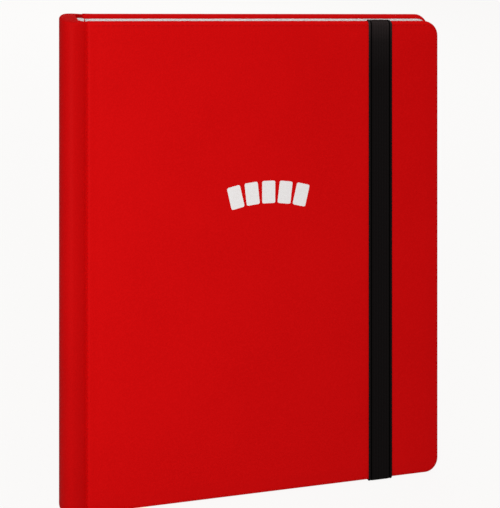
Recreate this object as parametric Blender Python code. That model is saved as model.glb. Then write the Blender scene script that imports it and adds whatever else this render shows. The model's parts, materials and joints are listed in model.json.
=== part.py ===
"""Trading card binder: two padded covers on a rounded padded spine, eight pocket leaves bound to a
strip on the spine, and an elastic closing strap stowed round the front cover.

Frame, in metres: +X from the spine to the fore edge, +Y from the front cover to the back cover,
+Z up. The binder stands on its bottom edges, with the origin under the middle of its box.
"""
import math

import bmesh
import bpy

MM = 0.001

# Covers
COVER_HEIGHT = 325 * MM
COVER_WIDTH = 258 * MM  # from the groove's middle to the fore edge
COVER_THICKNESS = 6.5 * MM
FORE_CORNER = 10 * MM  # corner radius in the cover's plane, at the fore edge
SPINE_CORNER = 3 * MM  # the same, beside the groove
EDGE_ROLL = 2.0 * MM  # radius of the skin where it rolls over the outer edge
SKIN = 1.0 * MM
FOAM = 1.4 * MM
BOARD = 2.2 * MM
LINING = 0.7 * MM
GAP = 0.3 * MM  # kept between any two pieces that touch

# Whole binder
INTERIOR = 7.2 * MM  # between the two covers' linings
HALF = INTERIOR / 2 + COVER_THICKNESS  # half the binder's thickness

# Spine and grooves
SPINE_REACH = 16 * MM  # from the groove's middle to the spine's outermost line
SPINE_SHOULDER = 8.5 * MM  # where its round back starts
SPINE_FACE = 4.6 * MM  # from the groove's middle to the spine's inner face
GROOVE_TO_COVER = 3.0 * MM  # from the groove's middle to the cover's near edge
HINGE_DEPTH = 1.8 * MM  # of the hinge line below the outer face
HINGE_SKIN = 0.8 * MM

# Strap
STRAP_WIDTH = 18.2 * MM
STRAP_THICKNESS = 0.8 * MM
STRAP_SHARE = 0.8208  # the strap's middle, as a share of the cover's width
STRAP_LIFT = 0.4 * MM  # gap between the strap and the cover's top or bottom edge
STRAP_LEG = 8 * MM  # how far it reaches down inside the cover
ANCHOR_LENGTH = 14 * MM

# Leaves
LEAF_COUNT = 8
LEAF_THICKNESS = 0.38 * MM
LEAF_PITCH = 0.68 * MM
LEAF_BELOW_COVER = 4 * MM
LEAF_SHORT = 9 * MM  # from the leaf's free edge to the cover's fore edge
LEAF_PIVOT = 3.0 * MM  # from the groove's middle to the outer leaves' pivots
LEAF_START = 0.3 * MM  # from the pivot to the leaf's bound edge
LEAF_CORNER = 3 * MM

# Places that follow
BASE = STRAP_THICKNESS + STRAP_LIFT  # the covers' bottom edge
TOP = BASE + COVER_HEIGHT
GROOVE_X = SPINE_REACH - (SPINE_REACH + COVER_WIDTH) / 2
STRAP_FRONT = HALF + GAP + STRAP_THICKNESS
MIDDLE_Y = (STRAP_FRONT - HALF) / 2  # centres the box, strap included
FORE_X = GROOVE_X + COVER_WIDTH
LEAF_MIDDLE_Y = MIDDLE_Y + (STRAP_THICKNESS + GAP) / 2  # leaves keep clear of the strap's legs

CORNER_STEPS = 8
ROLL_STEPS = 3
BACK_STEPS = 24


def clear_scene():
    for item in list(bpy.data.objects):
        bpy.data.objects.remove(item, do_unlink=True)


def material(name, color, roughness, metallic=0.0):
    made = bpy.data.materials.new(name)
    made.use_nodes = True
    shader = made.node_tree.nodes["Principled BSDF"]
    shader.inputs["Base Color"].default_value = (*color, 1)
    shader.inputs["Roughness"].default_value = roughness
    shader.inputs["Metallic"].default_value = metallic
    return made


def empty(name, place, parent=None):
    """An axis that pieces are parented to; place is in world space."""
    made = bpy.data.objects.new(name, None)
    bpy.context.collection.objects.link(made)
    made["place"] = place
    attach(made, place, parent)
    return made


def attach(item, place, parent):
    if parent:
        item.parent = parent
        item.location = [p - q for p, q in zip(place, parent["place"])]
    else:
        item.location = place


def solid(name, rings, look, parent=None, origin=None):
    """A closed body through rings of equal point count, capped at both ends, in world metres."""
    place = origin or (tuple(parent["place"]) if parent else (0, 0, 0))
    mesh = bmesh.new()
    loops = [[mesh.verts.new([p - q for p, q in zip(point, place)]) for point in ring] for ring in rings]
    for near, far in zip(loops, loops[1:]):
        for i in range(len(near)):
            j = (i + 1) % len(near)
            mesh.faces.new((near[i], near[j], far[j], far[i]))
    mesh.faces.new(loops[0][::-1])
    mesh.faces.new(loops[-1])
    bmesh.ops.recalc_face_normals(mesh, faces=mesh.faces)
    data = bpy.data.meshes.new(name)
    mesh.to_mesh(data)
    mesh.free()
    data.materials.append(look)
    data.shade_smooth()
    data.set_sharp_from_angle(angle=math.radians(40))
    made = bpy.data.objects.new(name, data)
    bpy.context.collection.objects.link(made)
    attach(made, place, parent)
    return made


def arc(x, z, radius, start, steps=CORNER_STEPS):
    """A quarter turn, anticlockwise from the start angle in degrees."""
    turns = [math.radians(start + 90 * i / steps) for i in range(steps + 1)]
    return [(x + radius * math.cos(a), z + radius * math.sin(a)) for a in turns]


def panel_ring(y, inset, left, right, low, high, near=SPINE_CORNER, far=FORE_CORNER):
    """The outline of a cover-shaped panel, inset all round, at one depth."""
    near, far = near - inset, far - inset
    left, right, low, high = left + inset, right - inset, low + inset, high - inset
    flat = arc(right - far, high - far, far, 0)
    flat += arc(left + near, high - near, near, 90)
    flat += arc(left + near, low + near, near, 180)
    flat += arc(right - far, low + far, far, 270)
    return [(x, y, z) for x, z in flat]


def cover_ring(y, inset):
    return panel_ring(y, inset, GROOVE_X + GROOVE_TO_COVER, FORE_X, BASE, TOP)


def cover(side, prefix, axis, looks):
    """One padded cover: a skin tray that holds foam, board and lining; side is -1 at the front."""
    outer = MIDDLE_Y + side * HALF
    inner = MIDDLE_Y + side * INTERIOR / 2

    def depth(distance):
        return outer - side * distance

    turns = [math.pi / 2 * i / ROLL_STEPS for i in range(ROLL_STEPS + 1)]
    rings = [cover_ring(depth(EDGE_ROLL * (1 - math.cos(a))), EDGE_ROLL * (1 - math.sin(a))) for a in turns]
    rings += [cover_ring(inner, 0), cover_ring(inner, SKIN), cover_ring(depth(SKIN), SKIN)]
    solid(prefix + "_skin", rings, looks["skin"], axis)

    level = SKIN + GAP
    for layer, thickness in (("foam", FOAM), ("board", BOARD), ("lining", LINING)):
        if layer == "lining":
            level = COVER_THICKNESS - thickness
        near, far = depth(level), depth(level + thickness)
        rings = [cover_ring(near, SKIN + GAP), cover_ring(far, SKIN + GAP)]
        solid(prefix + "_" + layer, rings, looks[layer], axis)
        level += thickness + GAP


def spine_section(inset, face):
    """The spine's D outline, from its inner face round its back, at an inset; face is x from the groove."""
    half = HALF - inset
    reach = SPINE_REACH - SPINE_SHOULDER - inset
    points = [(GROOVE_X - face, MIDDLE_Y - half)]
    for i in range(BACK_STEPS + 1):
        a = math.pi * i / BACK_STEPS
        points.append((GROOVE_X - SPINE_SHOULDER - reach * math.sin(a), MIDDLE_Y - half * math.cos(a)))
    points.append((GROOVE_X - face, MIDDLE_Y + half))
    return points


def spine_prism(name, inset, face, look):
    flat = spine_section(inset, face)
    levels = (BASE + inset, TOP - inset)
    return solid(name, [[(x, y, z) for x, y in flat] for z in levels], look)


def block(name, low, high, look, parent=None):
    """A plain strip or board between two corners."""
    rings = []
    for z in (low[2], high[2]):
        rings.append([(low[0], low[1], z), (high[0], low[1], z), (high[0], high[1], z), (low[0], high[1], z)])
    return solid(name, rings, look, parent)


def spine(looks):
    """The spine: a skin tray open towards the leaves, with foam, board and lining in it."""
    skin = spine_prism("spine_skin", 0, SPINE_FACE, looks["skin"])
    hollow = spine_prism("spine_hollow_cutter", SKIN, SPINE_FACE - 2 * SKIN, looks["skin"])
    hollow.hide_render = True
    hollow.display_type = "WIRE"
    cut = skin.modifiers.new("hollow", "BOOLEAN")
    cut.operation = "DIFFERENCE"
    cut.object = hollow

    inset = SKIN + GAP
    half = HALF - inset
    low, high = BASE + inset, TOP - inset
    lining_near = SPINE_FACE + LINING
    board_far = lining_near + GAP
    board_near = board_far + BOARD
    block("spine_lining", (GROOVE_X - lining_near, MIDDLE_Y - half, low),
          (GROOVE_X - SPINE_FACE, MIDDLE_Y + half, high), looks["lining"])
    block("spine_board", (GROOVE_X - board_near, MIDDLE_Y - half, low),
          (GROOVE_X - board_far, MIDDLE_Y + half, high), looks["board"])
    spine_prism("spine_foam", inset, board_near + GAP, looks["foam"])


def hinge_strips(side, prefix, looks):
    """The skin and the lining that cross one groove, between the spine and a cover."""
    near, far = GROOVE_X - SPINE_FACE + GAP, GROOVE_X + GROOVE_TO_COVER - GAP
    low, high = BASE + SKIN, TOP - SKIN
    hinge_y = MIDDLE_Y + side * (HALF - HINGE_DEPTH)
    lining_y = MIDDLE_Y + side * (INTERIOR / 2 + LINING)
    for name, middle, thickness, look in (
        ("_hinge_skin", hinge_y, HINGE_SKIN, looks["skin"]),
        ("_hinge_lining", lining_y, LINING, looks["lining"]),
    ):
        block(prefix + name, (near, middle - thickness / 2, low), (far, middle + thickness / 2, high), look)


def leaf_pivot(index):
    """Pivots step along two diagonals, so that leaves part as they turn."""
    from_middle = abs(index - (LEAF_COUNT - 1) / 2) - 0.5
    steps_inside = LEAF_COUNT / 2 - 1 - from_middle
    y = LEAF_MIDDLE_Y + (index - (LEAF_COUNT - 1) / 2) * LEAF_PITCH
    return GROOVE_X + LEAF_PIVOT + steps_inside * LEAF_PITCH, y


def binding_strip(look):
    """The wedge that the leaves are sewn to: a flat tail on the spine and a nose between the leaves."""
    half = LEAF_PITCH * LEAF_COUNT / 2 - 0.3 * MM
    nose = leaf_pivot(LEAF_COUNT // 2)[0] - 0.4 * MM
    tail = GROOVE_X - SPINE_FACE + GAP
    flat = [(tail, -half), (nose - half, -half), (nose, 0), (nose - half, half), (tail, half)]
    levels = (BASE + 3 * LEAF_BELOW_COVER, TOP - 3 * LEAF_BELOW_COVER)
    solid("binding_strip", [[(x, LEAF_MIDDLE_Y + y, z) for x, y in flat] for z in levels], look)


def leaves(look):
    low, high = BASE + LEAF_BELOW_COVER, TOP - LEAF_BELOW_COVER
    for index in range(LEAF_COUNT):
        x, y = leaf_pivot(index)
        rings = []
        for side in (-1, 1):
            level = y + side * LEAF_THICKNESS / 2
            rings.append(panel_ring(level, 0, x + LEAF_START, FORE_X - LEAF_SHORT, low, high,
                                    LEAF_CORNER, LEAF_CORNER))
        solid("leaf_%02d" % (index + 1), rings, look, origin=(x, y, 0))


def strap(look, cover_axis):
    """The elastic: a run down the front, a turn over each edge, and two short legs inside."""
    middle = GROOVE_X + STRAP_SHARE * COVER_WIDTH
    outer_front = MIDDLE_Y - HALF - GAP - STRAP_THICKNESS
    inner_front = outer_front + STRAP_THICKNESS
    inner_leg = MIDDLE_Y - INTERIOR / 2 + GAP
    outer_leg = inner_leg + STRAP_THICKNESS
    low, high = 0.0, TOP + BASE
    low_leg, high_leg = BASE + STRAP_LEG, TOP - STRAP_LEG
    flat = [
        (outer_front, low), (outer_leg, low), (outer_leg, low_leg), (inner_leg, low_leg),
        (inner_leg, low + STRAP_THICKNESS), (inner_front, low + STRAP_THICKNESS),
        (inner_front, high - STRAP_THICKNESS), (inner_leg, high - STRAP_THICKNESS),
        (inner_leg, high_leg), (outer_leg, high_leg), (outer_leg, high), (outer_front, high),
    ]
    near, far = middle - STRAP_WIDTH / 2, middle + STRAP_WIDTH / 2
    axis = empty("strap_axis", (middle, MIDDLE_Y - HALF, (BASE + TOP) / 2), cover_axis)
    solid("elastic_strap", [[(x, y, z) for y, z in flat] for x in (near, far)], look, axis)

    for name, level in (("top", high_leg - 2 * GAP - ANCHOR_LENGTH), ("bottom", low_leg + 2 * GAP)):
        block("strap_anchor_" + name, (near, inner_leg, level), (far, outer_leg, level + ANCHOR_LENGTH),
              look, cover_axis)


def build():
    clear_scene()
    looks = {
        "skin": material("red_leatherette", (0.55, 0.004, 0.005), 0.5),
        "foam": material("wadding", (0.8, 0.78, 0.7), 0.95),
        "board": material("grey_board", (0.32, 0.29, 0.25), 0.9),
        "lining": material("white_lining", (0.85, 0.83, 0.82), 0.6),
    }
    elastic = material("black_elastic", (0.008, 0.007, 0.007), 0.8)
    film = material("pocket_film", (0.86, 0.86, 0.87), 0.25)
    tape = material("binding_tape", (0.8, 0.79, 0.77), 0.85)

    axes = {}
    for side, prefix in ((-1, "front"), (1, "back")):
        place = (GROOVE_X, MIDDLE_Y + side * (HALF - HINGE_DEPTH), (BASE + TOP) / 2)
        axes[prefix] = empty(prefix + "_cover_axis", place)
        cover(side, prefix, axes[prefix], looks)
        hinge_strips(side, prefix, looks)
    spine(looks)
    binding_strip(tape)
    leaves(film)
    strap(elastic, axes["front"])


build()
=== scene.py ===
"""Looks of the trading card binder: padded leatherette covers, a rounded spine, lining, pocket leaves,
stitching and a woven elastic strap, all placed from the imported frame."""
import json
import math

import bmesh
import bpy
import numpy as np
from mathutils import Matrix, Vector


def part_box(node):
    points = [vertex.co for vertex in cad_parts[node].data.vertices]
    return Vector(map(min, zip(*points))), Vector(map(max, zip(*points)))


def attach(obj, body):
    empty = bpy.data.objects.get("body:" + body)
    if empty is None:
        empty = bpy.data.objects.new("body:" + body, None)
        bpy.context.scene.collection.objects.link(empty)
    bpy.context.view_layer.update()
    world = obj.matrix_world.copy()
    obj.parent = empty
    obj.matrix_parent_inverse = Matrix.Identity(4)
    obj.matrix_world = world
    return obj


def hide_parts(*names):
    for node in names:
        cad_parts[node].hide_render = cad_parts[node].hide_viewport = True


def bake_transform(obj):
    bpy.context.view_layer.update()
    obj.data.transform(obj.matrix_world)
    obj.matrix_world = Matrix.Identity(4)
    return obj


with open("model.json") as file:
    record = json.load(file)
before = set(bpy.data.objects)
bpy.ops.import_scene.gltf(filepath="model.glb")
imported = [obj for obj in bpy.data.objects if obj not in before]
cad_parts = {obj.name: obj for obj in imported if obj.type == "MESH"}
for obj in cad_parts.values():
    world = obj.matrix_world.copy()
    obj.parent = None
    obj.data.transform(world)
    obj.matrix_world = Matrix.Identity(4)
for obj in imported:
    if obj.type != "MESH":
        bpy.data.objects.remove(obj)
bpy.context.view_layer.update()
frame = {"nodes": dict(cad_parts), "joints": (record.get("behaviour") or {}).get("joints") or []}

MM = 0.001
FRONT, BACK = -1, 1

# Places read from the frame
front_low, front_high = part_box("front_skin")
_, back_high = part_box("back_skin")
spine_low, spine_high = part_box("spine_skin")
strap_low, strap_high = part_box("elastic_strap")
anchor_low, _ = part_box("strap_anchor_top")
BASE, TOP = front_low.z, front_high.z
FORE_X = front_high.x
FRONT_Y, BACK_Y = front_low.y, back_high.y
MIDDLE_Y = (FRONT_Y + BACK_Y) / 2
HALF = (BACK_Y - FRONT_Y) / 2
COVER = front_high.y - front_low.y
INTERIOR = HALF - COVER
GROOVE_X = next(j for j in frame["joints"] if j["name"] == "front_cover_hinge")["pos_m"][0]
SPINE_REACH = GROOVE_X - spine_low.x
SPINE_FACE = GROOVE_X - spine_high.x

# Covers
FORE_CORNER = 10 * MM
NEAR_CORNER = 1.6 * MM
NEAR_REACH = 0.3 * MM  # from the groove's middle to the cover's near edge
NEAR_CALM = 6 * MM  # within this of the near edge the stitched border fades out
EDGE_ROLL = 1.8 * MM
INNER_ROLL = 4.6 * MM  # the rim's inner curve, across the thickness
INNER_FALL = 1.8 * MM  # the same curve, down the face
EDGE_DROP = 0.35 * MM  # the padded face stands this far above the stitched border
CROWN_REACH = 9 * MM
TURN_IN = 1.9 * MM  # skin seen round the lining
SHORTEST_RADIUS = 0.2 * MM  # of a corner far inside the outline
STITCH_INSET = 2.1 * MM
STITCH_PITCH = 3.4 * MM
STITCH_LENGTH = 2.5 * MM
THREAD = 0.26 * MM  # its radius
BINDING_PITCH = 4 * MM  # of the stitches that hold the leaves
VALLEY = 0.05 * MM  # how far the stitched line sinks
VALLEY_WIDTH = 0.55 * MM
PUCKER = 0.04 * MM  # the extra dip between two stitches

# Strap
STRAP_THICKNESS = 0.8 * MM
STRAP_CLEAR = 0.46 * MM  # from the cover to the strap's middle
STRAP_PINCH = 0.17  # how much narrower the strap gets as it turns inside the cover
SELVEDGE_LINE = 0.78  # where the groove beside a selvedge runs, as a share of the strap's half width

# Spine
SHOULDER = 8.5 * MM
GROOVE_DEPTH = 2.1 * MM
GROOVE_SKIN = 0.8 * MM
SPINE_ROLL = 1.8 * MM
SQUARENESS = 0.25  # power that turns an ellipse into a strip's rounded section


def smooth(share):
    share = min(max(share, 0.0), 1.0)
    return share * share * (3 - 2 * share)


# ---------------------------------------------------------------- materials

PEBBLES = 1150  # embossed cells to the metre

def new_material(name, roughness, specular):
    """A material with a principled shader; returns it with its node tree and shader."""
    made = bpy.data.materials.new(name)
    made.use_nodes = True
    tree = made.node_tree
    shader = tree.nodes["Principled BSDF"]
    shader.inputs["Roughness"].default_value = roughness
    shader.inputs["Specular IOR Level"].default_value = specular
    return made, tree, shader


def place_of(tree, scale=(1, 1, 1), turn=(0, 0, 0)):
    """Object coordinates, scaled and turned, so that grain keeps its real size on every piece."""
    source = tree.nodes.new("ShaderNodeTexCoord")
    mapping = tree.nodes.new("ShaderNodeMapping")
    mapping.inputs["Scale"].default_value = scale
    mapping.inputs["Rotation"].default_value = turn
    tree.links.new(source.outputs["Object"], mapping.inputs["Vector"])
    return mapping.outputs["Vector"]


def noise_node(tree, vector, scale, detail=2.0, rough=0.5):
    made = tree.nodes.new("ShaderNodeTexNoise")
    made.inputs["Scale"].default_value = scale
    made.inputs["Detail"].default_value = detail
    made.inputs["Roughness"].default_value = rough
    tree.links.new(vector, made.inputs["Vector"])
    return made.outputs["Fac"]


def wave_node(tree, vector, scale, direction, distortion=0.0):
    made = tree.nodes.new("ShaderNodeTexWave")
    made.bands_direction = direction
    made.inputs["Scale"].default_value = scale
    made.inputs["Distortion"].default_value = distortion
    made.inputs["Detail"].default_value = 1.0
    tree.links.new(vector, made.inputs["Vector"])
    return made.outputs["Fac"]


def ramp(tree, factor, stops):
    made = tree.nodes.new("ShaderNodeValToRGB")
    elements = made.color_ramp.elements
    for element, (at, color) in zip(elements, (stops[0], stops[-1])):
        element.position = at
        element.color = (*color, 1)
    for at, color in stops[1:-1]:
        elements.new(at).color = (*color, 1)
    tree.links.new(factor, made.inputs["Fac"])
    return made.outputs["Color"]


def math_node(tree, operation, first, second):
    made = tree.nodes.new("ShaderNodeMath")
    made.operation = operation
    for socket, value in zip(made.inputs, (first, second)):
        if isinstance(value, (int, float)):
            socket.default_value = value
        else:
            tree.links.new(value, socket)
    return made.outputs["Value"]


def value_range(tree, factor, low, high):
    made = tree.nodes.new("ShaderNodeMapRange")
    made.inputs["To Min"].default_value = low
    made.inputs["To Max"].default_value = high
    tree.links.new(factor, made.inputs["Value"])
    return made.outputs["Result"]


def multiply(tree, first, second):
    made = tree.nodes.new("ShaderNodeMix")
    made.data_type, made.blend_type = "RGBA", "MULTIPLY"
    made.inputs["Factor"].default_value = 1
    colors = [socket for socket in made.inputs if socket.type == "RGBA"]
    tree.links.new(first, colors[0])
    tree.links.new(second, colors[1])
    return next(socket for socket in made.outputs if socket.type == "RGBA")


def bump(tree, shader, height, distance, strength=1.0):
    made = tree.nodes.new("ShaderNodeBump")
    made.inputs["Strength"].default_value = strength
    made.inputs["Distance"].default_value = distance
    tree.links.new(height, made.inputs["Height"])
    tree.links.new(made.outputs["Normal"], shader.inputs["Normal"])


def leatherette(name, tone=1.0):
    """Red coated cloth, embossed with a fine pebble over a faint weave."""
    made, tree, shader = new_material(name, 0.6, 0.03)
    place = place_of(tree)
    cells = tree.nodes.new("ShaderNodeTexVoronoi")
    cells.feature = "SMOOTH_F1"
    cells.inputs["Scale"].default_value = PEBBLES
    cells.inputs["Smoothness"].default_value = 0.6
    tree.links.new(place, cells.inputs["Vector"])
    pebble = cells.outputs["Distance"]
    fine = noise_node(tree, place, 2600, 2)
    broad = noise_node(tree, place, 16, 3)
    weave = math_node(tree, "MULTIPLY", wave_node(tree, place, 260, "Z"), wave_node(tree, place, 260, "X"))
    height = math_node(tree, "ADD", math_node(tree, "MULTIPLY", pebble, 0.9),
                       math_node(tree, "MULTIPLY", fine, 0.35))
    height = math_node(tree, "ADD", height, math_node(tree, "MULTIPLY", weave, 0.18))
    mottled = math_node(tree, "ADD", math_node(tree, "MULTIPLY", broad, 0.55),
                        math_node(tree, "MULTIPLY", pebble, 0.75))
    reds = [(0.2, (0.55, 0.0016, 0.0020)), (0.5, (0.61, 0.0018, 0.0022)), (0.85, (0.65, 0.0024, 0.0028))]
    color = ramp(tree, mottled, [(at, tuple(c * tone for c in red)) for at, red in reds])
    tree.links.new(color, shader.inputs["Base Color"])
    tree.links.new(value_range(tree, fine, 0.5, 0.68), shader.inputs["Roughness"])
    bump(tree, shader, height, 0.00009, 0.42)
    return made


def thread_material():
    """Red polyester thread with its twist."""
    made, tree, shader = new_material("red_thread", 0.5, 0.05)
    place = place_of(tree, turn=(0.5, 0.5, 0.5))
    twist = wave_node(tree, place, 900, "DIAGONAL")
    color = ramp(tree, twist, [(0.2, (0.50, 0.0015, 0.0018)), (0.8, (0.66, 0.0022, 0.0026))])
    tree.links.new(color, shader.inputs["Base Color"])
    bump(tree, shader, twist, 0.00008, 0.7)
    return made


def lining_material():
    """Smooth white lining film with a soft fibre grain."""
    made, tree, shader = new_material("white_lining", 0.55, 0.25)
    place = place_of(tree)
    fibre = noise_node(tree, place, 900, 4, 0.6)
    broad = noise_node(tree, place, 30, 2)
    both = math_node(tree, "ADD", math_node(tree, "MULTIPLY", fibre, 0.6),
                     math_node(tree, "MULTIPLY", broad, 0.4))
    color = ramp(tree, both, [(0.3, (0.93, 0.927, 0.923)), (0.7, (0.96, 0.958, 0.956))])
    tree.links.new(color, shader.inputs["Base Color"])
    bump(tree, shader, fibre, 0.00004, 0.5)
    return made


def leaf_material():
    """White sheet in the middle of a leaf, with a fine sand finish."""
    made, tree, shader = new_material("leaf_sheet", 0.45, 0.3)
    place = place_of(tree)
    sand = noise_node(tree, place, 2200, 2)
    color = ramp(tree, noise_node(tree, place, 40, 2), [(0.3, (0.86, 0.86, 0.86)), (0.7, (0.92, 0.92, 0.92))])
    tree.links.new(color, shader.inputs["Base Color"])
    bump(tree, shader, sand, 0.00003, 0.5)
    return made


def film_material():
    """Clear pocket film, slightly hazy, with faint ripples."""
    made, tree, shader = new_material("pocket_film", 0.16, 0.5)
    place = place_of(tree)
    ripple = noise_node(tree, place, 60, 2)
    color = ramp(tree, ripple, [(0.3, (0.90, 0.92, 0.94)), (0.7, (0.96, 0.97, 0.98))])
    tree.links.new(color, shader.inputs["Base Color"])
    tree.links.new(value_range(tree, ripple, 0.12, 0.24), shader.inputs["Roughness"])
    shader.inputs["Alpha"].default_value = 0.28
    bump(tree, shader, ripple, 0.0006, 0.35)
    return made


def elastic_material():
    """Black knitted elastic: lengthwise ribs crossed by a fine weft, with a painted highlight brightening its
    upper end and painted shade in the groove beside each selvedge.
    """
    made, tree, shader = new_material("black_elastic", 0.75, 0.015)
    place = place_of(tree)
    ribs = wave_node(tree, place, 155, "X")
    weft = wave_node(tree, place, 330, "Z", 0.6)
    knit = math_node(tree, "MULTIPLY", ribs, weft)
    fuzz = noise_node(tree, place, 2400, 3)
    height = math_node(tree, "ADD", math_node(tree, "MULTIPLY", knit, 0.45),
                       math_node(tree, "MULTIPLY", fuzz, 0.8))
    color = ramp(tree, math_node(tree, "MULTIPLY", height, 0.7),
                 [(0.1, (0.0036, 0.0028, 0.0028)), (0.9, (0.0130, 0.0105, 0.0105))])
    split = tree.nodes.new("ShaderNodeSeparateXYZ")
    tree.links.new(tree.nodes["Texture Coordinate"].outputs["Object"], split.inputs[0])
    # Painted highlight: the base colour brightens up to 3.4 times over the top 34 mm, standing in for light
    # caught where the strap bends over the cover's edge.
    rise = tree.nodes.new("ShaderNodeMapRange")
    for socket, value in zip(("From Min", "From Max", "To Min", "To Max"), (TOP - 34 * MM, TOP, 0, 1)):
        rise.inputs[socket].default_value = value
    tree.links.new(split.outputs["Z"], rise.inputs["Value"])
    painted_top_light = ramp(tree, rise.outputs["Result"],
                 [(0.0, (1, 1, 1)), (0.6, (1.5, 1.5, 1.5)), (1.0, (3.4, 3.2, 3.2))])
    half = (strap_high.x - strap_low.x) / 2
    across = math_node(tree, "SUBTRACT", split.outputs["X"], (strap_low.x + strap_high.x) / 2)
    across = math_node(tree, "DIVIDE", math_node(tree, "ABSOLUTE", across, 0), half)
    # Painted shade: the colour drops to 0.04 between 0.75 and 0.81 of the half width, the shade of the groove
    # beside each selvedge; beyond it the selvedge band is brightened.
    line = ramp(tree, across, [(0.0, (1, 1, 1)), (0.70, (1, 1, 1)), (0.75, (0.04, 0.04, 0.04)),
                               (0.81, (0.04, 0.04, 0.04)), (0.86, (1.3, 1.3, 1.3)), (1.0, (1.2, 1.2, 1.2))])
    tinted = multiply(tree, multiply(tree, color, painted_top_light), line)
    tree.links.new(tinted, shader.inputs["Base Color"])
    shader.inputs["Sheen Weight"].default_value = 0.003
    shader.inputs["Sheen Roughness"].default_value = 0.5
    bump(tree, shader, height, 0.00012, 0.8)
    return made


def tape_material():
    """Off-white cotton tape in a plain weave."""
    made, tree, shader = new_material("binding_tape", 0.85, 0.15)
    place = place_of(tree)
    weave = math_node(tree, "MULTIPLY", wave_node(tree, place, 300, "Z"), wave_node(tree, place, 300, "X"))
    color = ramp(tree, weave, [(0.0, (0.62, 0.60, 0.57)), (1.0, (0.84, 0.83, 0.81))])
    tree.links.new(color, shader.inputs["Base Color"])
    bump(tree, shader, weave, 0.0001, 0.8)
    return made


def board_material():
    """Grey bookbinding board with recycled specks."""
    made, tree, shader = new_material("grey_board", 0.9, 0.1)
    place = place_of(tree)
    specks = noise_node(tree, place, 1500, 4, 0.7)
    color = ramp(tree, specks, [(0.35, (0.16, 0.145, 0.13)), (0.5, (0.32, 0.29, 0.25)),
                                (0.75, (0.42, 0.40, 0.36))])
    tree.links.new(color, shader.inputs["Base Color"])
    bump(tree, shader, specks, 0.00006, 0.5)
    return made


def print_material():
    """White ink that keeps the leatherette's pebble."""
    made, tree, shader = new_material("white_print", 0.5, 0.2)
    place = place_of(tree)
    cells = tree.nodes.new("ShaderNodeTexVoronoi")
    cells.feature = "SMOOTH_F1"
    cells.inputs["Scale"].default_value = PEBBLES
    tree.links.new(place, cells.inputs["Vector"])
    color = ramp(tree, cells.outputs["Distance"], [(0.1, (0.90, 0.885, 0.88)), (0.8, (0.84, 0.80, 0.79))])
    tree.links.new(color, shader.inputs["Base Color"])
    bump(tree, shader, cells.outputs["Distance"], 0.00006, 0.5)
    return made


def floor_material():
    """Pale sweep that stays almost free of shadow."""
    made = bpy.data.materials.new("pale_floor")
    made.use_nodes = True
    tree = made.node_tree
    tree.nodes.clear()
    output = tree.nodes.new("ShaderNodeOutputMaterial")
    glow = tree.nodes.new("ShaderNodeEmission")
    glow.inputs["Color"].default_value = (0.956, 0.947, 0.939, 1)
    glow.inputs["Strength"].default_value = 0.975
    matte = tree.nodes.new("ShaderNodeBsdfDiffuse")
    matte.inputs["Color"].default_value = (0.03, 0.03, 0.03, 1)
    both = tree.nodes.new("ShaderNodeAddShader")
    tree.links.new(glow.outputs[0], both.inputs[0])
    tree.links.new(matte.outputs[0], both.inputs[1])
    tree.links.new(both.outputs[0], output.inputs["Surface"])
    return made


LOOKS = {
    "red_leatherette": leatherette("red_leatherette"),
    # Painted shade: the spine gets a copy of the same leatherette darkened to 0.88, standing in for the spine
    # lying in less light than the front.
    "spine_leatherette": leatherette("spine_leatherette", 0.88),
    "red_thread": thread_material(),
    "white_lining": lining_material(),
    "leaf_sheet": leaf_material(),
    "pocket_film": film_material(),
    "black_elastic": elastic_material(),
    "binding_tape": tape_material(),
    "grey_board": board_material(),
    "white_print": print_material(),
}

# ---------------------------------------------------------------- mesh tools


def piece(name, mesh, look, sharp=35):
    """Turns a bmesh into a shaded object."""
    bmesh.ops.recalc_face_normals(mesh, faces=mesh.faces)
    data = bpy.data.meshes.new(name)
    mesh.to_mesh(data)
    mesh.free()
    data.shade_smooth()
    data.set_sharp_from_angle(angle=math.radians(sharp))
    made = bpy.data.objects.new(name, data)
    bpy.context.collection.objects.link(made)
    data.materials.append(LOOKS[look])
    return made


def loft(mesh, rings):
    """Adds a closed body through rings of equal point count."""
    loops = [[mesh.verts.new(point) for point in ring] for ring in rings]
    for near, far in zip(loops, loops[1:]):
        for i in range(len(near)):
            j = (i + 1) % len(near)
            mesh.faces.new((near[i], near[j], far[j], far[i]))
    mesh.faces.new(loops[0][::-1])
    mesh.faces.new(loops[-1])


def rounded_card(centre, width, height, corner):
    """Points round a rounded rectangle in the XZ plane, anticlockwise from its upper fore corner."""
    points = []
    for (sx, sz), start in (((1, 1), 0), ((-1, 1), 90), ((-1, -1), 180), ((1, -1), 270)):
        for step in range(7):
            a = math.radians(start + 15 * step)
            points.append(centre + Vector((sx * (width / 2 - corner) + corner * math.cos(a), 0,
                                           sz * (height / 2 - corner) + corner * math.sin(a))))
    return points


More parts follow.
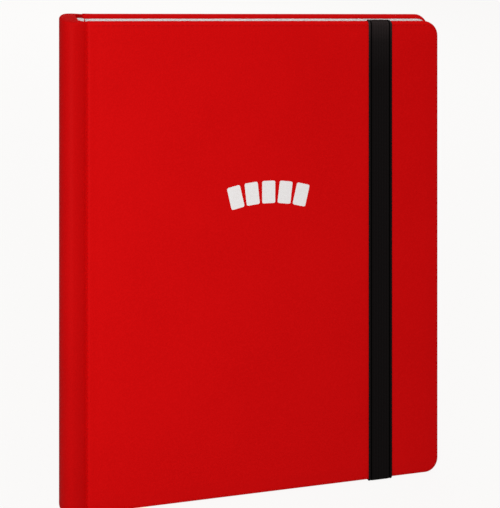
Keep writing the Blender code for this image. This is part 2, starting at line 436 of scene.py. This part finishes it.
class Outline:
    """A rounded rectangle in the cover's plane, in whole stitches, whose insets match point by point."""

    def __init__(self, left, right, low, high, near, far):
        self.box = (left, right, low, high)
        self.radii = (far, far, near, near)  # lower fore, upper fore, upper near, lower near
        points = self.corners(STITCH_INSET)
        self.counts = []
        for k in range(4):
            centre, radius, _ = points[k]
            before, _, _ = points[k - 1]
            straight = (Vector(centre) - Vector(before)).length
            self.counts.append((max(2, 2 * round(straight / STITCH_PITCH)),
                                max(8, 2 * round(radius * math.pi / 2 / STITCH_PITCH))))

    def corners(self, inset):
        """Centre, radius and start angle of each corner, anticlockwise from the lower fore one."""
        left, right, low, high = self.box
        made = []
        for k, (x, z) in enumerate(((right, low), (right, high), (left, high), (left, low))):
            full = self.radii[k]
            radius = max(full - inset, SHORTEST_RADIUS)
            reach = inset + radius
            centre = (x - reach if x == right else x + reach, z - reach if z == high else z + reach)
            made.append((centre, radius, math.radians(-90 + 90 * k)))
        return made

    def at(self, inset):
        """(x, z, phase) round the outline; phase counts half stitches along each stretch."""
        corners = self.corners(inset)
        made = []
        for k in range(4):
            (x, z), radius, start = corners[k]
            (px, pz), last_radius, last_start = corners[k - 1]
            turned = last_start + math.pi / 2
            ax, az = px + last_radius * math.cos(turned), pz + last_radius * math.sin(turned)
            bx, bz = x + radius * math.cos(start), z + radius * math.sin(start)
            straight, bend = self.counts[k]
            for i in range(straight):
                share = i / straight
                made.append((ax + (bx - ax) * share, az + (bz - az) * share, i))
            for i in range(bend):
                a = start + math.pi / 2 * i / bend
                made.append((x + radius * math.cos(a), z + radius * math.sin(a), i))
        return made


def cover_outline():
    return Outline(GROOVE_X + NEAR_REACH, FORE_X, BASE, TOP, NEAR_CORNER, FORE_CORNER)


def border_share(x):
    """How strong the stitched border is at a place: none along the near edge, full beyond it."""
    return smooth((x - GROOVE_X - NEAR_REACH - 2.6 * MM) / NEAR_CALM)


def face_depth(inset, share=1.0):
    """How far the cover's outer face lies below its highest level, at an inset from its edge."""
    rise = EDGE_DROP * (1 - smooth((inset - STITCH_INSET) / CROWN_REACH)) * share
    valley = VALLEY * math.exp(-(((inset - STITCH_INSET) / VALLEY_WIDTH) ** 2)) * share
    roll = 0.0
    if inset < EDGE_ROLL:
        roll = EDGE_ROLL - math.sqrt(EDGE_ROLL**2 - (EDGE_ROLL - inset) ** 2)
    return rise + valley + roll


def cover_shell(side, name):
    """A padded cover: crowned face, stitched border, rolled edges and the skin's turned-in margin."""
    outline = cover_outline()
    outer = MIDDLE_Y + side * HALF

    def face_ring(inset, pucker=0.0):
        made = []
        for x, z, phase in outline.at(inset):
            share = border_share(x)
            made.append((x, outer - side * (face_depth(inset, share) + pucker * share * (1 - phase % 2)), z))
        return made

    def ring(inset, depth):
        return [(x, outer - side * depth, z) for x, z, _ in outline.at(inset)]

    rings = [face_ring(v * MM) for v in (14, 11, 8.5, 6.5, 5, 4, 3.3, 2.9, 2.6, 2.35)]
    for inset in (STITCH_INSET + 0.12 * MM, STITCH_INSET, STITCH_INSET - 0.12 * MM):
        rings.append(face_ring(inset, PUCKER))
    rings.append(face_ring(1.85 * MM))
    for a in (80, 68, 56, 44, 32, 20, 10, 0):
        rings.append(face_ring(EDGE_ROLL * (1 - math.sin(math.radians(a)))))
    for a in (0, 15, 30, 45, 60, 75, 90):
        a = math.radians(a)
        rings.append(ring(INNER_FALL * (1 - math.cos(a)), COVER - INNER_ROLL * (1 - math.sin(a))))
    rings.append(ring(TURN_IN - 0.1 * MM, COVER))
    rings.append(ring(TURN_IN, COVER - 0.1 * MM))
    rings.append(ring(TURN_IN + 0.02 * MM, COVER - 0.5 * MM))
    mesh = bmesh.new()
    loft(mesh, rings)
    return piece(name, mesh, "red_leatherette", 50)


def lining_sheet(side, name):
    """The white lining inside a cover, with a softly rounded margin."""
    outline = cover_outline()
    outer = MIDDLE_Y + side * HALF

    def ring(inset, depth):
        return [(x, outer - side * depth, z) for x, z, _ in outline.at(inset)]

    rings = [ring(TURN_IN + 0.05 * MM, COVER - 0.45 * MM), ring(TURN_IN + 0.05 * MM, COVER - 0.12 * MM),
             ring(TURN_IN + 0.12 * MM, COVER - 0.03 * MM), ring(TURN_IN + 0.3 * MM, COVER),
             ring(TURN_IN + 1.1 * MM, COVER),
             ring(TURN_IN + 1.7 * MM, COVER + 0.02 * MM), ring(9 * MM, COVER + 0.05 * MM)]
    mesh = bmesh.new()
    loft(mesh, rings)
    return piece(name, mesh, "white_lining", 50)


def add_stitch(mesh, centre, along, out, length=STITCH_LENGTH, radius=THREAD):
    """One stitch: a short bent thread whose ends dive into the skin."""
    across = along.cross(out).normalized()
    rings = []
    for share in (-1, -0.8, -0.45, 0, 0.45, 0.8, 1):
        lift = radius * (0.75 - 1.55 * share**4)
        thick = radius * (1 - 0.45 * share**2)
        middle = centre + along * (share * length / 2) + out * lift
        turns = [math.tau * i / 6 for i in range(6)]
        rings.append([middle + across * (thick * math.cos(a)) + out * (thick * 0.8 * math.sin(a))
                      for a in turns])
    loft(mesh, rings)


def border_stitches(side, name):
    """The row along the bottom, fore and top edges, one stitch to each pucker."""
    outline = cover_outline()
    points = outline.at(STITCH_INSET)
    outer = MIDDLE_Y + side * HALF
    level = outer - side * (face_depth(STITCH_INSET) + 0.05 * MM)
    out = Vector((0, side, 0))
    mesh = bmesh.new()
    last = GROOVE_X + NEAR_REACH + 4 * MM
    for i, (x, z, phase) in enumerate(points):
        if phase % 2 == 0 or x < last:
            continue
        bx, bz, _ = points[i - 1]
        ax, az, _ = points[(i + 1) % len(points)]
        along = Vector((ax - bx, 0, az - bz))
        length = min(STITCH_LENGTH, along.length * 0.8)
        add_stitch(mesh, Vector((x, level, z)), along.normalized(), out, length)
    return piece(name, mesh, "red_thread", 60)


def groove_stitches(side, name):
    """The row down the cover's near edge, half sunk in the groove."""
    slant = math.radians(45)
    inset = EDGE_ROLL * (1 - math.cos(slant))
    x = GROOVE_X + NEAR_REACH + inset
    y = MIDDLE_Y + side * (HALF - face_depth(inset, 0))
    out = Vector((-math.sin(slant), side * math.cos(slant), 0))
    mesh = bmesh.new()
    count = int((TOP - BASE - 8 * MM) / STITCH_PITCH)
    for i in range(count):
        z = (BASE + TOP) / 2 + (i - (count - 1) / 2) * STITCH_PITCH
        add_stitch(mesh, Vector((x, y, z)), Vector((0, 0, 1)), out, 2.3 * MM)
    return piece(name, mesh, "red_thread", 60)


def spine_half(side, name):
    """Half of the padded spine with the skin that runs on through one groove."""
    round_steps, slope_steps = 40, 22
    tuck = NEAR_REACH + 0.5 * MM

    def section(shrink):
        points = []
        for i in range(round_steps + 1):
            a = math.pi / 2 * (1 - i / round_steps)
            reach = SPINE_REACH - SHOULDER - shrink
            points.append((-SHOULDER - reach * math.sin(a), (HALF - shrink) * math.cos(a)))
        for i in range(1, slope_steps + 1):
            share = i / slope_steps
            x = -SHOULDER + (SHOULDER + tuck) * share
            to_groove = min((x + SHOULDER) / (SHOULDER - 0.3 * MM), 1)
            depth = GROOVE_DEPTH * to_groove**1.9
            points.append((x, HALF - depth - shrink * (1 - 0.85 * to_groove)))
        under = HALF - GROOVE_DEPTH - GROOVE_SKIN
        points += [(tuck, under), (-1.7 * MM, under + 0.05 * MM), (-2.6 * MM, under - 0.7 * MM),
                   (-3.6 * MM, under - 1.4 * MM), (-SPINE_FACE, under - 2.2 * MM), (-SPINE_FACE, 0)]
        return points

    turns = [math.radians(a) for a in (0, 18, 36, 54, 72, 90)]
    levels = [(BASE + SPINE_ROLL * (1 - math.sin(a)), SPINE_ROLL * (1 - math.cos(a)))
              for a in reversed(turns)]
    levels += [(TOP - z + BASE, shrink) for z, shrink in reversed(levels)]
    rings = []
    for z, shrink in levels:
        rings.append([(GROOVE_X + x, MIDDLE_Y + side * y, z) for x, y in section(shrink)])
    mesh = bmesh.new()
    loft(mesh, rings)
    return piece(name, mesh, "spine_leatherette", 60)


def strip(name, low, high, look, taper=0.15 * MM):
    """A thin sheet between two corners, with rounded long edges, running along Z."""
    mesh = bmesh.new()
    middle = [(low[i] + high[i]) / 2 for i in range(3)]
    half_x, half_y = (high[0] - low[0]) / 2, (high[1] - low[1]) / 2
    flat = []
    for i in range(32):
        a = math.tau * i / 32
        c, s = math.cos(a), math.sin(a)
        flat.append((math.copysign(abs(c) ** SQUARENESS, c) * half_x,
                     math.copysign(abs(s) ** SQUARENESS, s) * half_y))
    rings = []
    for z, shrink in ((low[2], 0.7), (low[2] + taper, 1), (high[2] - taper, 1), (high[2], 0.7)):
        rings.append([(middle[0] + x * (1 - (1 - shrink) * half_y / max(half_x, half_y)),
                       middle[1] + y * shrink, z) for x, y in flat])
    loft(mesh, rings)
    return piece(name, mesh, look, 50)


def hinge_lining(side, prefix):
    """The lining that bends inside a groove, from the spine's inner face to the cover's near edge."""
    inner = MIDDLE_Y + side * INTERIOR
    thick = 0.5 * MM
    path = []
    for i in range(13):
        share = i / 12
        x = GROOVE_X - SPINE_FACE + 0.1 * MM + (SPINE_FACE + NEAR_REACH + TURN_IN + 0.3 * MM) * share
        sag = 0.9 * math.sin(math.pi * min(share / 0.93, 1)) + 0.45 * (1 - share) - 0.05 * share
        path.append((x, inner + side * sag * MM))
    flat = path + [(x, y + side * thick) for x, y in reversed(path)]
    mesh = bmesh.new()
    loft(mesh, [[(x, y, z) for x, y in flat] for z in (BASE + TURN_IN, TOP - TURN_IN)])
    made = piece(prefix + "_hinge_lining_sheet", mesh, "white_lining", 50)
    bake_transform(made)
    return made


# ---------------------------------------------------------------- covers, spine


def build_cover(side, prefix):
    body = prefix + "_cover"
    shell = cover_shell(side, prefix + "_cover_shell")
    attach(shell, body)
    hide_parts(prefix + "_skin", prefix + "_foam")

    sheet = lining_sheet(side, prefix + "_lining_sheet")
    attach(sheet, body)
    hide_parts(prefix + "_lining")

    for made in (border_stitches(side, prefix + "_border_stitches"),
                 groove_stitches(side, prefix + "_groove_stitches")):
        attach(made, body)

    half = spine_half(side, prefix + "_spine_half")
    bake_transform(half)
    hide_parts("spine_skin", "spine_foam", prefix + "_hinge_skin")

    bend = hinge_lining(side, prefix)
    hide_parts(prefix + "_hinge_lining")


def build_spine_inside():
    low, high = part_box("spine_lining")
    made = strip("spine_lining_sheet", (low.x, low.y, low.z), (high.x + 0.05 * MM, high.y, high.z),
                 "white_lining")
    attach(made, "spine")
    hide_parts("spine_lining")

    low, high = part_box("binding_strip")
    middle = (low.y + high.y) / 2
    half = (high.y - low.y) / 2
    shoulder = high.x - half
    flat = [(low.x, -half), (low.x, half), (shoulder - 0.2 * MM, half), (shoulder + 0.2 * MM, half * 0.93)]
    flat += [(high.x - 0.4 * MM, 0.35 * MM), (high.x - 0.1 * MM, 0.12 * MM)]
    flat += [(x, -y) for x, y in reversed(flat[2:])]
    mesh = bmesh.new()
    levels = ((low.z, 0.85), (low.z + 0.5 * MM, 1), (high.z - 0.5 * MM, 1), (high.z, 0.85))
    loft(mesh, [[(low.x + (x - low.x) * s, middle + y * s, z) for x, y in flat] for z, s in levels])
    tape = piece("binding_strip_tape", mesh, "binding_tape", 40)
    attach(tape, "spine")
    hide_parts("binding_strip")

    mesh = bmesh.new()
    for side in (FRONT, BACK):
        count = int((high.z - low.z - 6 * MM) / BINDING_PITCH)
        for i in range(count):
            z = (low.z + high.z) / 2 + (i - (count - 1) / 2) * BINDING_PITCH
            centre = Vector((low.x + 2.2 * MM, middle + side * half, z))
            add_stitch(mesh, centre, Vector((0, 0, 1)), Vector((0, side, 0)), 2.8 * MM, 0.2 * MM)
    sewing = piece("binding_stitches", mesh, "binding_tape", 60)
    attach(sewing, "spine")


# ---------------------------------------------------------------- leaves

COLUMNS, ROWS = 3, 3
LEAF_MARGIN_BOUND = 24 * MM
LEAF_MARGIN = 5 * MM
LEAF_CORNER = 3 * MM
SHEET_HALF = 0.07 * MM
WELD = 2.0 * MM


def leaf_sheet(name, low, high):
    """The white middle sheet of a leaf, with rounded corners."""
    centre = Vector((low.x + high.x, 0, low.z + high.z)) / 2
    flat = rounded_card(centre, high.x - low.x, high.z - low.z, LEAF_CORNER)
    middle = (low.y + high.y) / 2
    mesh = bmesh.new()
    loft(mesh, [[(p.x, middle + y, p.z) for p in flat] for y in (-SHEET_HALF, SHEET_HALF)])
    return piece(name, mesh, "leaf_sheet", 40)


def pocket_grid(low, high):
    """(x0, x1, z0, z1) of each pocket, by column from the bound edge and by row from the bottom."""
    left, right = low.x + LEAF_MARGIN_BOUND, high.x - LEAF_MARGIN
    bottom, top = low.z + LEAF_MARGIN, high.z - LEAF_MARGIN
    wide, tall = (right - left) / COLUMNS, (top - bottom) / ROWS
    for column in range(COLUMNS):
        for row in range(ROWS):
            yield (left + column * wide, left + (column + 1) * wide,
                   bottom + row * tall, bottom + (row + 1) * tall)


def pocket_films(name, low, high):
    """Both faces' clear pockets: pillowed films welded on three sides, open towards the bound edge."""
    middle = (low.y + high.y) / 2
    steps = 8
    mesh = bmesh.new()
    for x0, x1, z0, z1 in pocket_grid(low, high):
        x0, x1, z0, z1 = x0 + WELD / 2, x1 - WELD / 2, z0 + WELD / 2, z1 - WELD / 2
        notch = 9 * MM
        for side in (FRONT, BACK):
            outer, inner = [], []
            for i in range(steps + 1):
                for j in range(steps + 1):
                    u, v = i / steps, j / steps
                    z = z0 + (z1 - z0) * v
                    near = x0 + math.sqrt(max(notch**2 - (z - (z0 + z1) / 2) ** 2, 0)) * 0.6
                    x = near + (x1 - near) * u
                    lift = 0.05 * MM * smooth((1 - u) * 4 if u > 0.5 else 1) * min(1, 8 * v * (1 - v))
                    outer.append(mesh.verts.new((x, middle + side * (0.12 * MM + lift), z)))
                    inner.append(mesh.verts.new((x, middle + side * (0.085 * MM + lift), z)))
            wide = steps + 1
            for i in range(steps):
                for j in range(steps):
                    a, b = i * wide + j, (i + 1) * wide + j
                    mesh.faces.new((outer[a], outer[b], outer[b + 1], outer[a + 1]))
                    mesh.faces.new((inner[a], inner[a + 1], inner[b + 1], inner[b]))
            rim = [j for j in range(wide)] + [i * wide + steps for i in range(1, wide)]
            rim += [steps * wide + j for j in range(steps - 1, -1, -1)]
            rim += [i * wide for i in range(steps - 1, 0, -1)]
            for a, b in zip(rim, rim[1:] + rim[:1]):
                mesh.faces.new((outer[a], outer[b], inner[b], inner[a]))
    return piece(name, mesh, "pocket_film", 40)


def weld_lines(name, low, high):
    """Raised weld beads round the pockets, on both faces."""
    middle = (low.y + high.y) / 2
    left, right = low.x + LEAF_MARGIN_BOUND, high.x - LEAF_MARGIN
    bottom, top = low.z + LEAF_MARGIN, high.z - LEAF_MARGIN
    wide, tall = (right - left) / COLUMNS, (top - bottom) / ROWS
    mesh = bmesh.new()
    for side in (FRONT, BACK):
        def bead(start, end, across):
            half = WELD / 2 - 0.1 * MM
            profile = [(-half, 0.07), (-half * 0.6, 0.13), (0, 0.16), (half * 0.6, 0.13), (half, 0.07)]
            ends = []
            for point in (start, end):
                ends.append([(point[0] + across[0] * w, middle + side * h * MM, point[1] + across[1] * w)
                             for w, h in profile])
            loft(mesh, ends)
        for row in range(ROWS + 1):
            z = bottom + row * tall
            bead((left, z), (right, z), (0, 1))
        for column in range(1, COLUMNS + 1):
            for row in range(ROWS):
                x = left + column * wide
                z = bottom + row * tall
                bead((x, z + WELD / 2), (x, z + tall - WELD / 2), (1, 0))
    return piece(name, mesh, "pocket_film", 40)


def build_leaves():
    for node in sorted(n for n in frame["nodes"] if n.startswith("leaf_")):
        low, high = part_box(node)
        sheet = leaf_sheet(node + "_sheet", low, high)
        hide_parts(node)
        films = pocket_films(node + "_pockets", low, high)
        welds = weld_lines(node + "_welds", low, high)
        for made in (sheet, films, welds):
            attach(made, node)


# ---------------------------------------------------------------- strap


def ribbon(name, path, wraps=False):
    """Woven elastic along a path of (y, z) points, with a groove beside each rounded selvedge.

    A band that wraps the cover narrows as it turns inside."""
    half = (strap_high.x - strap_low.x) / 2
    middle = (strap_low.x + strap_high.x) / 2
    across = []
    steps = 36
    for i in range(steps + 1):
        share = -1 + 2 * i / steps
        edge = 1 - abs(share)
        body = math.sqrt(min(1, edge / 0.03)) if edge < 0.03 else 1
        groove = 0.34 * math.exp(-(((abs(share) - SELVEDGE_LINE) / 0.045) ** 2))
        rib = 0.012 * math.cos(math.pi * i)
        across.append((share * half, (0.5 * body - (groove + rib * 0.5) * (edge > 0.05)) * STRAP_THICKNESS))
    profile = [(x, t) for x, t in across] + [(x, -t) for x, t in reversed(across[1:-1])]
    rings = []
    for k, (y, z) in enumerate(path):
        y0, z0 = path[max(k - 1, 0)]
        y1, z1 = path[min(k + 1, len(path) - 1)]
        along = Vector((0, y1 - y0, z1 - z0)).normalized()
        out = Vector((0, -along.z, along.y))
        tucked = smooth((y - front_low.y - 0.6 * MM) / (front_high.y - front_low.y)) if wraps else 0
        width = 1 - STRAP_PINCH * tucked
        rings.append([Vector((middle + x * width, y, z)) + out * t for x, t in profile])
    mesh = bmesh.new()
    loft(mesh, rings)
    return piece(name, mesh, "black_elastic", 60)


def strap_path():
    """(y, z) of the strap's middle: from inside the cover's top, down the front, to inside its bottom."""
    clear, face, inner = STRAP_CLEAR, front_low.y, front_high.y
    rim = []
    for a in (90, 75, 60, 45, 30, 15, 0):
        a = math.radians(a)
        rim.append((inner - INNER_ROLL + (INNER_ROLL + clear) * math.sin(a),
                    INNER_FALL - (INNER_FALL + clear) * math.cos(a)))
    for a in (0, 15, 30, 45, 60, 75, 90):
        a = math.radians(a)
        rim.append((face + EDGE_ROLL - (EDGE_ROLL + clear) * math.sin(a),
                    EDGE_ROLL - (EDGE_ROLL + clear) * math.cos(a)))
    tail = [(inner + clear, INNER_FALL + 1.6 * MM), (inner + clear, INNER_FALL + 0.8 * MM)]
    down = tail + rim  # y, and the distance from the edge
    path = [(y, TOP - drop) for y, drop in down]
    rows = 60
    high, low = path[-1][1], BASE + EDGE_ROLL
    path += [(face - clear, high + (low - high) * i / rows) for i in range(1, rows)]
    path += [(y, BASE + drop) for y, drop in reversed(down)]
    return path


def build_strap():
    made = ribbon("elastic_strap_band", strap_path(), True)
    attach(made, "strap")
    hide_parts("elastic_strap")

    y = front_high.y + 0.7 * MM
    reach = TOP - anchor_low.z
    for word, edge, way in (("top", TOP, -1), ("bottom", BASE, 1)):
        path = [(y, edge + way * (1.5 * MM + (reach - 1.5 * MM) * i / 24)) for i in range(25)]
        if way > 0:
            path.reverse()
        end = ribbon("strap_end_" + word, path)
        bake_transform(end)
        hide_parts("strap_anchor_" + word)
        mesh = bmesh.new()
        middle = (strap_low.x + strap_high.x) / 2
        level = edge + way * (reach - 3.2 * MM)
        for i in range(5):
            for row in (-1, 1):
                centre = Vector((middle + (i - 2) * 3.2 * MM, y + 0.4 * MM, level + row * 1.8 * MM))
                add_stitch(mesh, centre, Vector((1, 0, 0)), Vector((0, 1, 0)), 2.4 * MM, 0.18 * MM)
        tack = piece("strap_tack_" + word, mesh, "black_elastic", 60)
        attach(tack, "front_cover")


# ---------------------------------------------------------------- print


def build_print():
    """A plain white decoration on the front: five blank cards laid in a shallow arc."""
    width, height, corner = 9.6 * MM, 15.5 * MM, 1.3 * MM
    centre_x = GROOVE_X + (FORE_X - GROOVE_X) * 0.494
    centre_z = TOP - 117 * MM
    arc_radius = 105 * MM
    mesh = bmesh.new()
    for i in range(5):
        lean = math.radians((i - 2) * 6.6)
        middle = Vector((centre_x + arc_radius * math.sin(lean), 0,
                         centre_z + arc_radius * (math.cos(lean) - 1)))
        turn = Matrix.Rotation(lean, 3, "Y")
        outline = [middle + turn @ point for point in rounded_card(Vector(), width, height, corner)]
        levels = (FRONT_Y + 0.05 * MM, FRONT_Y - 0.05 * MM)
        loft(mesh, [[(p.x, y, p.z) for p in outline] for y in levels])
    made = piece("card_print", mesh, "white_print", 40)
    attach(made, "front_cover")


# ---------------------------------------------------------------- stage


WORLD_LIGHT = 0.37
FLOOR_REACH = 12.0
YAW = 20.05  # degrees that the camera is turned from square on
RISE_ACROSS = 0.1129  # how far the picture's right-hand axis climbs
DROP_AWAY = 0.480  # how far its viewing axis leans down
RIG_PLACE = (-0.3334, -0.9033, 0.6238)
LENS = 108.8


def area_light(name, place, target, size, power, glossy=True):
    lamp = bpy.data.lights.new(name, "AREA")
    lamp.shape = "RECTANGLE"
    lamp.size, lamp.size_y = size
    lamp.energy = power
    made = bpy.data.objects.new(name, lamp)
    bpy.context.collection.objects.link(made)
    made.visible_glossy = glossy
    made.location = place
    made.rotation_euler = (Vector(target) - Vector(place)).to_track_quat("-Z", "Y").to_euler()


def build_stage():
    mesh = bmesh.new()
    corners = [mesh.verts.new((x * FLOOR_REACH, y * FLOOR_REACH, 0))
               for x, y in ((-1, -1), (1, -1), (1, 1), (-1, 1))]
    mesh.faces.new(corners)
    data = bpy.data.meshes.new("floor")
    mesh.to_mesh(data)
    mesh.free()
    data.materials.append(floor_material())
    floor = bpy.data.objects.new("floor", data)
    bpy.context.collection.objects.link(floor)
    floor.visible_diffuse = False
    floor.visible_glossy = False

    world = bpy.data.worlds.new("studio")
    world.use_nodes = True
    backdrop = world.node_tree.nodes["Background"]
    backdrop.inputs["Color"].default_value = (1, 0.995, 0.99, 1)
    backdrop.inputs["Strength"].default_value = WORLD_LIGHT
    bpy.context.scene.world = world
    area_light("key", (-0.34, -0.50, 0.14), (-0.04, 0, 0.15), (0.30, 0.12), 1.4)
    area_light("high", (-0.33, -0.85, 0.90), (0, 0, 0.30), (0.40, 0.25), 3.7)
    area_light("back", (0.25, 1.1, 0.45), (0, 0, 0.16), (0.6, 0.4), 5.0, glossy=False)
    area_light("top", (0.0, -0.05, 1.25), (0, 0, 0.33), (0.9, 0.5), 3.0, glossy=False)


def oblique_camera():
    """A camera on a sheared rig, so that the top edges come out level and the uprights parallel.

    The three axes aren't square to one another. They are split into a turn, a stretch and a tilt, which
    the rig and the camera on it can hold."""
    yaw = math.radians(YAW)
    right = Vector((math.cos(yaw), -math.sin(yaw), 0))
    up = Vector((0, 0, 1))
    back = Vector((-math.sin(yaw), -math.cos(yaw), 0))
    axes = [(right + up * RISE_ACROSS).normalized(), up, (back + up * DROP_AWAY).normalized()]
    columns = Matrix([list(axis) for axis in axes]).transposed()

    turn, stretch, tilt = np.linalg.svd(np.array(columns, float))
    if np.linalg.det(turn) < 0:
        turn, tilt = -turn, -tilt
    rig = bpy.data.objects.new("camera_rig", None)
    bpy.context.collection.objects.link(rig)
    camera = bpy.data.objects.new("camera", bpy.data.cameras.new("camera"))
    bpy.context.collection.objects.link(camera)
    camera.data.lens = LENS
    camera.data.clip_start, camera.data.clip_end = 0.05, 50
    rig.location = RIG_PLACE
    rig.rotation_mode = camera.rotation_mode = "QUATERNION"
    rig.rotation_quaternion = Matrix(turn.tolist()).to_quaternion()
    rig.scale = stretch.tolist()
    camera.parent = rig
    camera.rotation_quaternion = Matrix(tilt.tolist()).to_quaternion()
    bpy.context.scene.camera = camera


oblique_camera()
build_stage()
build_cover(FRONT, "front")
build_cover(BACK, "back")
build_spine_inside()
build_leaves()
build_strap()
build_print()
for node in ("front_board", "back_board", "spine_board"):
    slots = frame["nodes"][node].data.materials
    slots.clear()
    slots.append(LOOKS["grey_board"])

bpy.context.scene.view_settings.view_transform = "Standard"
